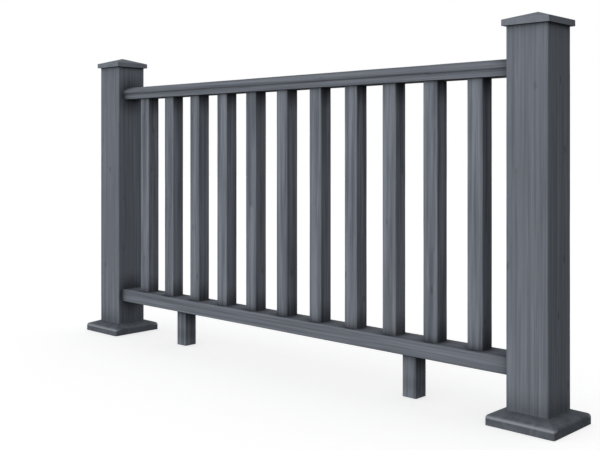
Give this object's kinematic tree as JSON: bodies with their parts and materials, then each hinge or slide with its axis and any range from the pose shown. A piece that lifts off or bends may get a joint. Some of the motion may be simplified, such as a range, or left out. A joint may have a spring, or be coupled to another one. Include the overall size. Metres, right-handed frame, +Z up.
{
  "type": "deck railing section",
  "caption": "Straight deck railing bay: sleeved posts with pyramid caps and base skirts, crowned top rail, bottom rail on foot blocks and square balusters between.",
  "frame": {"origin": "centre of the left post's base plate, on the deck", "axes": "+X along the rails from the left post to the right post, +Y to the back of the railing, +Z up"},
  "size_m": [1.953, 0.191, 1.026],
  "materials": {
    "post_composite": "matt, pressed wood grain",
    "rail_composite": "matt, pressed wood grain",
    "baluster_composite": "matt, pressed wood grain",
    "bracket_plastic": "matt, moulded",
    "anchor_steel": "hot-dip galvanised"
  },
  "bodies": {
    "root": {"left_post_sleeve": "post_composite", "left_post_cap": "post_composite", "left_post_skirt": "post_composite", "left_post_anchor": "anchor_steel", "right_post_sleeve": "post_composite", "right_post_cap": "post_composite", "right_post_skirt": "post_composite", "right_post_anchor": "anchor_steel", "top_rail": "rail_composite", "bottom_rail": "rail_composite", "baluster_01": "baluster_composite", "baluster_02": "baluster_composite", "baluster_03": "baluster_composite", "baluster_04": "baluster_composite", "baluster_05": "baluster_composite", "baluster_06": "baluster_composite", "baluster_07": "baluster_composite", "baluster_08": "baluster_composite", "baluster_09": "baluster_composite", "baluster_10": "baluster_composite", "baluster_11": "baluster_composite", "left_foot_block": "baluster_composite", "right_foot_block": "baluster_composite", "left_top_rail_bracket": "bracket_plastic", "left_bottom_rail_bracket": "bracket_plastic", "right_top_rail_bracket": "bracket_plastic", "right_bottom_rail_bracket": "bracket_plastic"}
  },
  "joints": []
}
